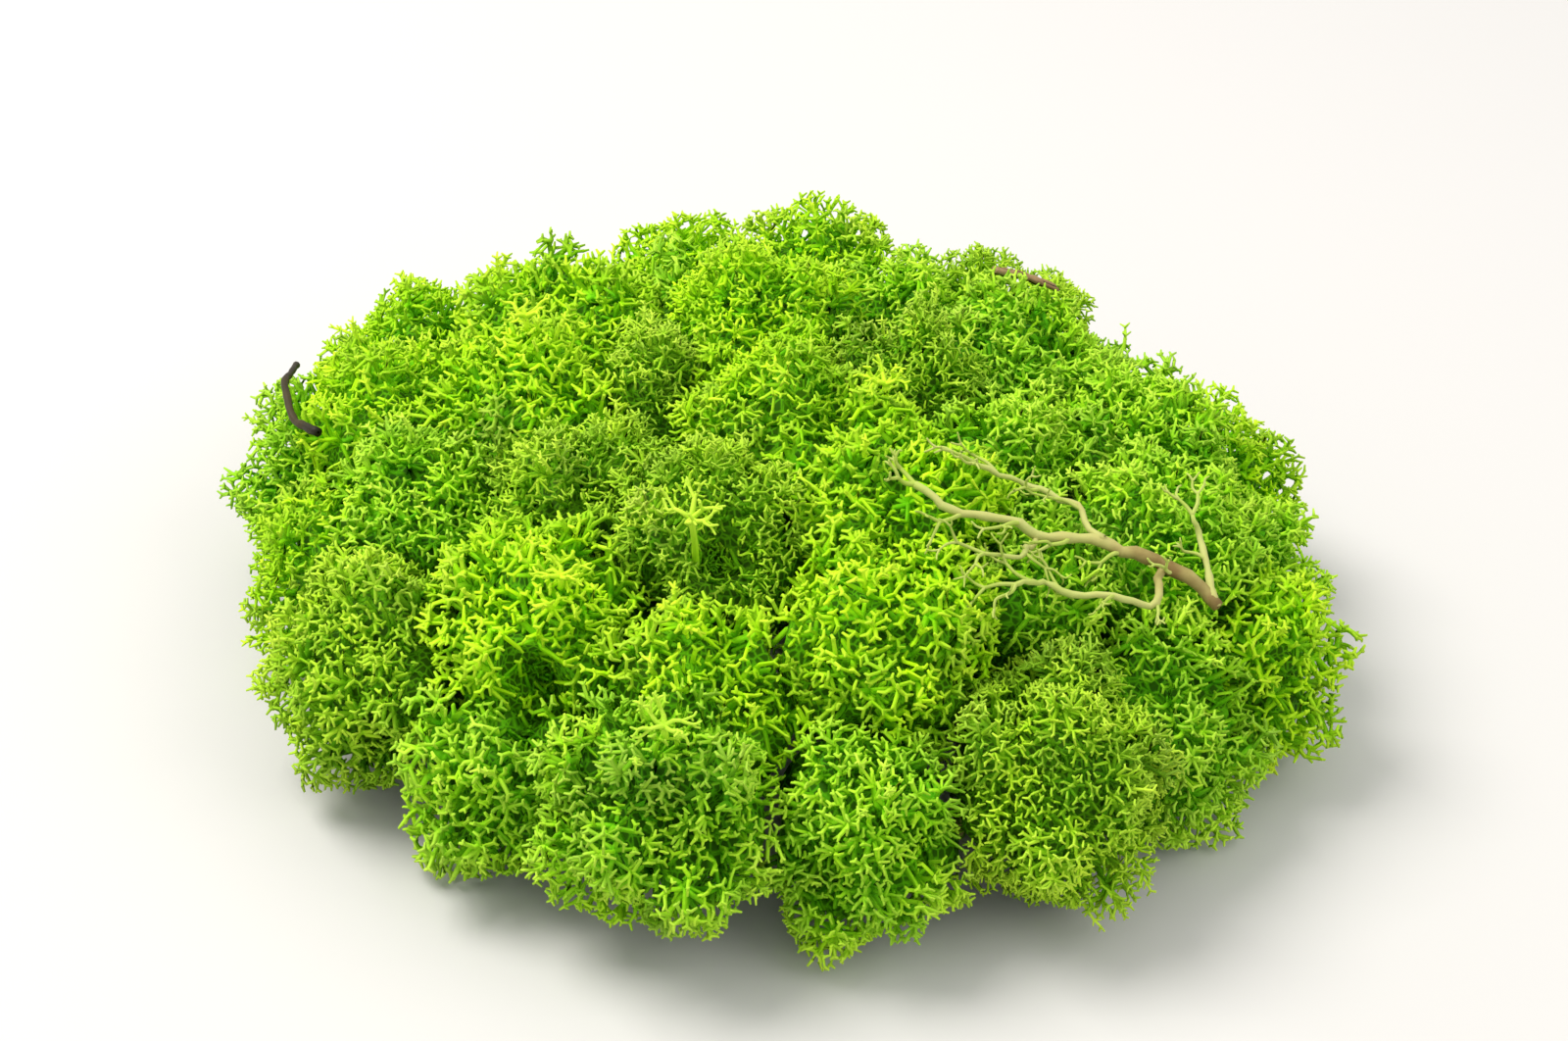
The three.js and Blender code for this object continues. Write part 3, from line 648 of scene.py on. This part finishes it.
def grow(head, strands):
    """Branches of one head, from its tips down to its feet."""
    random, habit = head.random, head.habit
    radius, spacing = habit.tip_radius, habit.tip_spacing
    tips = Layer(head, spacing, TIP_DEPTH, habit.ragged, LOWEST_TIP,
                 TIP_REACH, GAP_SHARE, WALL_PLAY)
    twigs = Layer(head, spacing * TWIG_SPREAD, TWIG_DEPTH, TWIG_RAGGED, LOWEST_TWIG)
    inner = Layer(head, spacing * INNER_SPREAD, INNER_DEPTH, INNER_RAGGED, LOWEST_TIP)
    boughs = Layer(head, spacing * BOUGH_SPREAD, BOUGH_DEPTH, BOUGH_RAGGED, LOWEST_BOUGH)
    limbs = Layer(head, LIMB_SPACING, LIMB_DEPTH, LIMB_RAGGED, LOWEST_LIMB, LIMB_REACH)
    clear = np.ones(len(tips.places), bool)
    for points, thickness in head.lying:
        gaps = np.linalg.norm(tips.places[:, None] - points[None], axis=2).min(axis=1)
        clear &= gaps > thickness + RESTING_CLEAR
    tips.keep(clear)

    trunk = head.centre - head.axis * TRUNK_DROP * head.radius
    trunk = head.kept_inside(trunk, STEM_CLEAR)
    side, other = across(head.axis[None])
    turn = random.random() * math.tau + np.arange(TRUNKS) * math.tau / TRUNKS
    tops = trunk + turned(side, other, turn) * TRUNK_SPREAD
    trunks = SimpleNamespace(places=tops, ways=np.broadcast_to(head.axis, tops.shape))

    twig_of_tip, bough_of_twig = nearest(tips, twigs), nearest(twigs, boughs)
    bough_of_inner = nearest(inner, boughs)
    limb_of_bough, trunk_of_limb = nearest(boughs, limbs), nearest(limbs, trunks)
    own_tone = random.random(len(boughs.places))
    bough_tone = SHARED_TONE * head.bush_tone[boughs.bush] + (1.0 - SHARED_TONE) * own_tone
    spread = random.normal(size=len(bough_of_twig)) * TONE_SPREAD
    twig_tone = bough_tone[bough_of_twig] + spread
    tip_tone = twig_tone[twig_of_tip] + random.normal(size=len(twig_of_tip)) * TONE_SPREAD

    def link(parent, index, child, form, tones, closed=True):
        """Branches up to the child layer's places, and the ways in which they end."""
        bend, points, sides, thickness, heights = form
        leaving = parent.ways[index]
        leaving = unit(leaving + random.normal(size=leaving.shape) * LEAVING_SPREAD)
        paths = curved(parent.places[index], leaving, child.places, bend, points)
        least, play = THICKNESS
        root, end = (share * radius for share in thickness)
        radii = np.linspace(root, end, points) * (least + play * random.random((len(paths), 1)))
        # ends in valleys and hollows get lower heights, so their colour is darker: painted shade
        rises = np.linspace(*heights, points) * (1.0 - CREASE_SHADE * child.valley)[:, None]
        dullness = head.bush_dullness[child.bush]
        strands.add(paths, radii, sides, rises, np.clip(tones, 0.0, 1.0), dullness, closed)
        return unit(paths[:, -1] - paths[:, -2])

    ends = link(twigs, twig_of_tip, tips, TIP_FORM, tip_tone, False)
    link(boughs, bough_of_inner, inner, INNER_FORM, bough_tone[bough_of_inner])
    link(boughs, bough_of_twig, twigs, TWIG_FORM, twig_tone, False)
    link(limbs, limb_of_bough, boughs, BOUGH_FORM, bough_tone)
    link(trunks, trunk_of_limb, limbs, LIMB_FORM, np.full(len(limbs.places), LIMB_TONE))
    add_stars(head, strands, tips, ends, tip_tone)
    add_sprigs(head, strands, tips)
    for node, x, y, size, rise in CROWNS:
        if node == head.node:
            add_crown(head, strands, tips, (x, y), size, rise)
    add_stems(head, strands, tops)
    core_ball(head, strands)


def add_stars(head, strands, tips, ends, tones):
    """Forked ends: two blunt prongs on each tip."""
    random, habit = head.random, head.habit
    number = len(ends)
    side, other = across(ends)
    start = random.random(number) * math.tau
    tones = np.clip(tones + STAR_TONE, 0.0, 1.0)
    for k in range(2):
        turn = start + k * math.pi + random.normal(size=number) * STAR_TURN
        ways = ends * (0.4 + 0.7 * random.random((number, 1))) + turned(side, other, turn)
        lengths = (0.3 + 0.3 * random.random(number)) * habit.tip_spacing
        # prongs in valleys and hollows are painted darker too: painted shade
        strands.add_prongs(tips.places - ends * STAR_SINK, unit(ways), lengths,
                           np.full(number, habit.tip_radius * STAR_THICKNESS),
                           1.0 - CREASE_SHADE * tips.valley, tones,
                           head.bush_dullness[tips.bush])


def add_sprigs(head, strands, tips):
    """A few longer, paler branches that stand out of the head."""
    random, habit = head.random, head.habit
    inside = head.depth_inside(tips.places)
    able = np.flatnonzero((inside > SPRIG_INSIDE) & (tips.ways @ head.axis > SPRIG_LEVEL))
    chosen = able[random.permutation(len(able))[:SPRIGS]]
    starts = tips.places[chosen] - tips.ways[chosen] * SPRIG_ROOT
    lean = unit(tips.ways[chosen] + random.normal(size=starts.shape) * 0.35)
    ends = starts + lean * (2.6 + 1.2 * random.random((len(chosen), 1)))
    ends[:, 2] = np.minimum(ends[:, 2], CEILING)
    paths = curved(starts, tips.ways[chosen], ends, 0.5, SPRIG_STEPS)
    shape = np.ones((len(chosen), 1))
    tones, dullness = np.ones(len(chosen)), np.zeros(len(chosen))
    radii = np.linspace(1.2, 0.8, SPRIG_STEPS) * habit.tip_radius * shape
    strands.add(paths, radii, 4, np.linspace(0.7, 1.0, SPRIG_STEPS) * shape, tones, dullness)
    along = unit(paths[:, -1] - paths[:, -2])
    side, other = across(along)
    for place in (SPRIG_STEPS - 2, SPRIG_STEPS - 1):
        for k in range(3):
            turn = math.tau * (k / 3.0 + random.random(len(chosen)) * 0.3 + place * 0.17)
            ways = unit(along * 0.7 + turned(side, other, turn))
            lengths = 0.7 + 0.5 * random.random(len(chosen))
            strands.add_prongs(paths[:, place], ways, lengths,
                               np.full(len(chosen), habit.tip_radius * 0.8),
                               np.ones(len(chosen)), tones, dullness)


def add_stems(head, strands, tops):
    """Stems down to the feet, and the old branches round them that fill the underside."""
    random = head.random
    foot = head.centre * [FOOT_DRAW, FOOT_DRAW, 0.0]
    turn = head.index * STEM_TURN
    beside = foot + STEM_SPREAD * np.array([math.cos(turn), math.sin(turn), 0.0])
    feet = np.array([head.kept_inside(place, STEM_CLEAR) for place in (foot, beside)])
    feet = np.repeat(feet, TRUNKS // 2, axis=0)
    feet = feet + random.normal(size=(TRUNKS, 3)) * FOOT_PLAY
    upright = np.broadcast_to([0.0, 0.0, 1.0], feet.shape)
    paths = curved(feet, upright, tops, FOOT_BEND, FOOT_STEPS)
    radii = np.linspace(*FOOT_RADII, FOOT_STEPS) * np.ones((TRUNKS, 1))
    heights = np.linspace(0.0, 0.05, FOOT_STEPS) * np.ones((TRUNKS, 1))
    strands.add(paths, radii, FOOT_SIDES, heights, random.random(TRUNKS), random.random(TRUNKS))

    around = random.random(UNDER_STEMS) * math.tau
    spread = np.sqrt(random.random(UNDER_STEMS)) * UNDER_SPREAD * head.radius
    least, range_over = UNDER_RISE
    rise = FLOOR_CLEAR + least + range_over * random.random(UNDER_STEMS)
    ends = feet[0] + np.stack([spread * np.cos(around), spread * np.sin(around), rise], axis=1)
    ends = ends[head.depth_inside(ends) > UNDER_INSIDE]
    starts = head.centre + (ends - head.centre) * UNDER_START
    down = np.broadcast_to([0.0, 0.0, -1.0], ends.shape) + random.normal(size=ends.shape) * 0.5
    paths = curved(starts, unit(down), ends, 0.5, UNDER_STEPS)
    shape = np.ones((len(ends), 1))
    strands.add(paths, np.linspace(*UNDER_RADII, UNDER_STEPS) * shape, 3,
                np.linspace(*UNDER_HEIGHTS, UNDER_STEPS) * shape, random.random(len(ends)),
                random.random(len(ends)))


def resting_path(node, plan):
    """A lying piece's path: its plan points, at the height that the CAD node has there."""
    corners = np.array([corner.co[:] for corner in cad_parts[node].data.vertices]) / MM
    path = []
    for x, y in plan:
        gaps = np.hypot(corners[:, 0] - x, corners[:, 1] - y)
        near = gaps < max(SECTION_REACH, gaps.min() + SECTION_SPARE)
        path.append((x, y, corners[near, 2].mean()))
    return np.array(path)


def rounded_path(points, steps):
    """A smooth curve through the points."""
    padded = np.concatenate([[2 * points[0] - points[1]], points, [2 * points[-1] - points[-2]]])
    curve = []
    for a, b, c, d in zip(padded, padded[1:], padded[2:], padded[3:]):
        for t in np.arange(steps) / steps:
            curve.append(0.5 * (
                2 * b + (c - a) * t + (2 * a - 5 * b + 4 * c - d) * t**2
                + (3 * b - a - 3 * c + d) * t**3
            ))
    return np.array([*curve, points[-1]])


def knotty_tube(strands, path, start, end, random, rises, knots, sway):
    """An old stem: uneven in thickness and crooked, with a blunt end at each side."""
    number = len(path)
    shake = random.normal(size=(number, 3))
    shake = (shake + np.roll(shake, 1, axis=0) + np.roll(shake, -1, axis=0)) / 3.0
    shake[0] = 0.0
    path = path + shake * sway
    radii = np.linspace(start, end, number)
    radii = radii * (1.0 + knots * random.normal(size=number).clip(-1.5, 1.5))
    back, narrowed = BLUNT_START
    path = np.concatenate([path[:1] + (path[:1] - path[1:2]) * back, path])
    radii = np.concatenate([[radii[0] * narrowed], radii])
    heights = np.linspace(*rises, number + 1)[None]
    strands.add(path[None], radii[None], STEM_SIDES, heights, random.random(1), random.random(1))
    return path


def add_crown(head, strands, tips, place, size, rise):
    """A pale star of forked branches on a stalk that stands out of the tips."""
    gaps = np.hypot(*(tips.places[:, :2] - place).T)
    near = np.flatnonzero(gaps < gaps.min() + CROWN_NEAR)
    chosen = near[tips.places[near, 2].argmax()]
    outward = unit(tips.ways[chosen] + [0.0, 0.0, 1.0])
    foot = tips.places[chosen] - outward
    root = foot + outward * (1.0 + rise)
    side, other = across(outward[None])
    start = head.random.random()
    stalk = rounded_path(np.array([foot, foot + outward * rise * 0.6 + side[0] * 0.4, root]), 2)
    strands.add(stalk[None], np.linspace(1.2, 1.0, len(stalk))[None] * CROWN_RADIUS, 4,
                np.linspace(0.5, 0.9, len(stalk))[None], np.ones(1), np.zeros(1))
    for k in range(CROWN_ARMS):
        turn = math.tau * (start + (k + 0.5 * head.random.random()) / CROWN_ARMS)
        way = side[0] * math.cos(turn) + other[0] * math.sin(turn)
        way = unit(way + outward * (0.3 + 0.5 * head.random.random()))
        branchlet(strands, root, way, 0.5 * size, CROWN_RADIUS, head.random, 2, True)


def branchlet(strands, root, way, length, radius, random, forks, fresh=False):
    """A thin crooked side branch, forked again as often as asked; a fresh one is bright."""
    sides, steps = (4, 2) if fresh else (6, 3)
    tone, dullness = (np.ones(1), np.zeros(1)) if fresh else random.random((2, 1))
    bend = unit(way + random.normal(size=3) * 0.45 + [0.0, 0.0, 0.1])
    middle = root + way * length * 0.5
    path = rounded_path(np.array([root, middle, middle + bend * length * 0.5]), steps)
    path[:, 2] = np.minimum(path[:, 2], CEILING)
    radii = np.linspace(radius, radius * 0.7, len(path))
    heights = np.linspace(0.85, 1.0, len(path))
    strands.add(path[None], radii[None], sides, heights[None], tone, dullness)
    if forks == 0:
        return
    side, other = across(bend[None])
    turn = random.random() * math.pi
    outward = side[0] * math.cos(turn) + other[0] * math.sin(turn)
    for sign in (-1.0, 1.0):
        fork = unit(bend + outward * sign * (0.5 + 0.4 * random.random()))
        branchlet(strands, path[-1] - bend * radius * 0.5, fork, length * 0.65, radius * 0.75,
                  random, forks - 1, fresh)


def podetium_piece(material):
    """The old bare stem: crooked forked branches, with a few thin branchlets left on them."""
    random = np.random.default_rng(STEM_SEED)
    strands, routes = Strands(), []
    for index, (plan, start, end) in enumerate(BARE_PODETIUM):
        points = resting_path("bare_podetium", plan)
        thinning, rises = STEM_THINNING[min(index, 1)], STEM_RISES[min(index, 1)]
        if routes:
            stem = np.concatenate([route for route, _ in routes])
            points[0] = stem[np.linalg.norm(stem - points[0], axis=1).argmin()]
        route = rounded_path(points, STEM_CURVE_STEPS)
        route = knotty_tube(strands, route, start * thinning, end * thinning, random,
                            rises, *STEM_KNOTS)
        routes.append((route, start))
        along = unit(np.gradient(route, axis=0))
        side = unit(np.cross(along, [0.0, 0.0, 1.0]))

        def sprout(root, way, least, play, share):
            length = least + play * random.random()
            branchlet(strands, root, unit(way), length, end * share, random, BRANCHLET_FORKS)

        for i in range(BRANCHLET_FIRST, len(route) - BRANCHLET_LAST, BRANCHLET_STEP):
            sign = random.choice([-1.0, 1.0])
            way = along[i] * 0.9 + side[i] * sign + [0.0, 0.0, 0.3 * random.random()]
            sprout(route[i], way, 2.4, 2.2, 0.55)
        for sign in (-1.0, 1.0):
            way = along[-1] + side[-1] * sign * (0.4 + 0.4 * random.random())
            sprout(route[-1], way, 2.6, 1.6, 0.6)
    return strands.build("bare_podetium_stem", material), routes


def needle_piece(material):
    random = np.random.default_rng(NEEDLE_SEED)
    strands = Strands()
    plan, start, end = DARK_NEEDLE
    route = rounded_path(resting_path("dark_needle", plan), SCRAP_CURVE_STEPS)
    route = knotty_tube(strands, route, start, end, random, NEEDLE_RISES, *NEEDLE_KNOTS)
    return strands.build("dark_needle_scrap", material), [(route, start)]


def twig_piece(material):
    """The scrap of twig: split along its length, with two pale edges and a dark middle that is
    painted shade in the split.
    """
    random = np.random.default_rng(TWIG_SEED)
    strands = Strands()
    plan, start, end = BROWN_TWIG
    route = rounded_path(resting_path("brown_twig", plan), SCRAP_CURVE_STEPS)
    side = unit(np.cross(np.gradient(route, axis=0), [0.0, 0.0, 1.0]))
    gaping = np.linspace(SPLIT_START, 1.0, len(route))[:, None]
    for sign, rises in SPLIT_EDGES:
        edge = route + side * sign * SPLIT_WIDTH * gaping
        knotty_tube(strands, edge, start * 0.5, end * 0.4, random, rises, *EDGE_KNOTS)
    # the sunken middle of the split, painted near black: painted shade
    middle = route - [0.0, 0.0, SPLIT_FALL]
    knotty_tube(strands, middle, start * 0.55, end * 0.55, random, (0.0, 0.0), *MIDDLE_KNOTS)
    return strands.build("brown_twig_scrap", material), [(route, start + TWIG_CLEAR)]


def fill(tree, node, inputs):
    """Puts a value or another node's output on each input."""
    for name, value in inputs.items():
        if isinstance(value, bpy.types.NodeSocket):
            tree.links.new(value, node.inputs[name])
        else:
            node.inputs[name].default_value = value


def add_node(tree, kind, inputs, **settings):
    node = tree.nodes.new(f"ShaderNode{kind}")
    for name, value in settings.items():
        setattr(node, name, value)
    fill(tree, node, inputs)
    return node


def principled(name):
    material = bpy.data.materials.new(name)
    material.use_nodes = True
    return material, material.node_tree, material.node_tree.nodes["Principled BSDF"]


def colour_ramp(tree, place, stops, colours):
    ramp = add_node(tree, "ValToRGB", {"Fac": place})
    elements = ramp.color_ramp.elements
    for stop in stops[1:-1]:
        elements.new(stop)
    for element, stop, colour in zip(elements, stops, colours):
        element.position, element.color = stop, (*colour, 1.0)
    return ramp.outputs["Color"]


def own_place(tree):
    return add_node(tree, "TexCoord", {}).outputs["Object"]


def noise(tree, scale, detail):
    inputs = {"Vector": own_place(tree), "Scale": scale, "Detail": detail}
    return add_node(tree, "TexNoise", inputs).outputs["Fac"]


def map_range(tree, value, source, target):
    inputs = {"Value": value, "From Min": source[0], "From Max": source[1],
              "To Min": target[0], "To Max": target[1]}
    return add_node(tree, "MapRange", inputs).outputs["Result"]


def combined(tree, operation, first, second):
    return add_node(tree, "Math", {0: first, 1: second}, operation=operation).outputs[0]


def growth_parts(tree):
    growth = add_node(tree, "Attribute", {}, attribute_name="growth").outputs["Vector"]
    return add_node(tree, "SeparateXYZ", {0: growth}).outputs


def rough_grain(tree, shader, scale, strength, rough):
    """Fine bumps, and roughness that varies with them."""
    grain = noise(tree, scale, 2.0)
    inputs = {"Strength": strength, "Distance": GRAIN_HEIGHT, "Height": grain}
    bump = add_node(tree, "Bump", inputs)
    fill(tree, shader, {
        "Normal": bump.outputs["Normal"],
        "Roughness": map_range(tree, grain, (0.0, 1.0), rough),
    })


def lichen_material(dye):
    """Dyed lichen: bright matte tips, richer branches under them, depths painted dark as painted
    shade, duller patches.
    """
    material, tree, shader = principled(f"lichen_{dye}")
    growth = growth_parts(tree)
    cells = add_node(tree, "TexVoronoi", {"Vector": own_place(tree), "Scale": TANGLE_SCALE},
                     feature="DISTANCE_TO_EDGE")
    lines = map_range(tree, cells.outputs["Distance"], (0.0, TANGLE_LINE), (1.0, 0.0))
    depth = map_range(tree, growth["X"], TANGLE_END, TANGLE_RISE)
    height = combined(tree, "ADD", growth["X"], combined(tree, "MULTIPLY", lines, depth))
    colours = []
    for tip, branch, deep in (DYES[dye], DULL):
        # dark: painted shade, for the core and the deepest branches
        dark = tuple(CORE_SHADE * part for part in deep)
        reached = (OLD_STEM, dark, dark, deep, branch, tip)
        colours.append(colour_ramp(tree, height, HEIGHT_STOPS, reached))
    patches = map_range(tree, noise(tree, PATCH_SCALE, 3.0), (0.42, 0.68), (0.0, 0.8))
    dull_bush = map_range(tree, growth["Z"], (0.45, 1.0), (0.1, 1.0))
    dyed = add_node(tree, "Mix", {
        "Factor": combined(tree, "MULTIPLY", dull_bush, patches),
        "A": colours[0], "B": colours[1],
    }, data_type="RGBA")
    mottle = combined(tree, "ADD", growth["Y"], noise(tree, MOTTLE_SCALE, 3.0))
    shade = add_node(tree, "HueSaturation", {
        "Color": dyed.outputs["Result"],
        "Value": map_range(tree, mottle, MOTTLE_RANGE, (0.76, 1.2)),
        "Hue": map_range(tree, mottle, MOTTLE_RANGE, (0.512, 0.488)),
    })
    fill(tree, shader, {"Base Color": shade.outputs["Color"], "Specular IOR Level": 0.08})
    rough_grain(tree, shader, 2600.0, 0.35, (0.55, 0.85))
    return material


def old_wood_material(name, colours, patch_scale, grain_scale, rough):
    """Old plant matter: one colour after another along it, mottled and grainy."""
    material, tree, shader = principled(name)
    mottle = map_range(tree, noise(tree, patch_scale, 5.0), (0.3, 0.7), (-0.22, 0.22))
    height = combined(tree, "ADD", mottle, growth_parts(tree)["X"])
    colour = colour_ramp(tree, height, np.linspace(0.0, 1.0, len(colours)), colours)
    fill(tree, shader, {"Base Color": colour, "Specular IOR Level": 0.2})
    rough_grain(tree, shader, grain_scale, 0.6, rough)
    return material


def stage_floor():
    low, high = -FLOOR_HALF, FLOOR_HALF
    mesh = bpy.data.meshes.new("floor")
    corners = [(low, low, 0), (high, low, 0), (high, high, 0), (low, high, 0)]
    mesh.from_pydata(corners, [], [(0, 1, 2, 3)])
    material, tree, shader = principled("pale_floor")
    fill(tree, shader, {"Base Color": (*FLOOR_COLOUR, 1.0), "Roughness": 0.8})
    mesh.materials.append(material)
    added("floor", mesh)


def area_light(name, place, size, power, colour=(1.0, 1.0, 1.0)):
    light = bpy.data.lights.new(name, "AREA")
    light.shape = "DISK"
    light.size, light.energy, light.color = size, power, colour
    lamp = added(name, light)
    lamp.location = place
    lamp.rotation_euler = (-Vector(place)).to_track_quat("-Z", "Y").to_euler()


def studio():
    world = bpy.data.worlds.new("studio")
    world.use_nodes = True
    tree = world.node_tree
    sky = {"Color": (1.0, 1.0, 1.0, 1.0), "Strength": SKY_STRENGTH}
    fill(tree, tree.nodes["Background"], sky)
    bpy.context.scene.world = world
    area_light("key", (-0.45, 0.4, 0.95), 0.7, 13.4, (1.0, 0.98, 0.95))
    area_light("fill", (0.5, -0.7, 0.7), 0.9, 3.5)


def photo_camera():
    """The photograph's viewing angle, roll and lens, moved in until the clump fills the frame."""
    azimuth, elevation, roll = map(math.radians, CAMERA_TURNS)
    outward = Vector((
        math.sin(azimuth) * math.cos(elevation),
        -math.cos(azimuth) * math.cos(elevation),
        math.sin(elevation),
    ))
    data = bpy.data.cameras.new("photo")
    data.lens, data.sensor_width = CAMERA_LENS, 36.0
    camera = added("photo", data)
    facing = outward.to_track_quat("Z", "Y").to_matrix() @ Matrix.Rotation(roll, 3, "Z")
    place = Vector(CAMERA_AIM) + outward * CAMERA_DISTANCE
    camera.matrix_world = Matrix.Translation(place) @ facing.to_4x4()
    bpy.context.scene.camera = camera


def stand_for(piece, node):
    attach(piece, "root")
    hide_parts(node)


bare = old_wood_material("bare_stem", BARE_STEM_COLOURS, 160.0, 900.0, (0.5, 0.8))
dark = old_wood_material("conifer_needle", NEEDLE_COLOURS, 220.0, 1200.0, (0.4, 0.65))
bark = old_wood_material("twig_bark", TWIG_COLOURS, 260.0, 1100.0, (0.5, 0.8))
podetium, podetium_routes = podetium_piece(bare)
needle, needle_routes = needle_piece(dark)
twig, twig_routes = twig_piece(bark)
stand_for(podetium, "bare_podetium")
stand_for(needle, "dark_needle")
stand_for(twig, "brown_twig")
lying = podetium_routes + needle_routes + twig_routes

heads = [Head(index, row, lying) for index, row in enumerate(HEADS)]
for head in heads:
    head.find_room(heads)
lichens = {dye: lichen_material(dye) for dye in DYES}
for head in heads:
    strands = Strands()
    grow(head, strands)
    stand_for(strands.build(f"{head.node}_branches", lichens[head.dye]), head.node)

photo_camera()
studio()
stage_floor()
bpy.context.scene.view_settings.view_transform = "Standard"
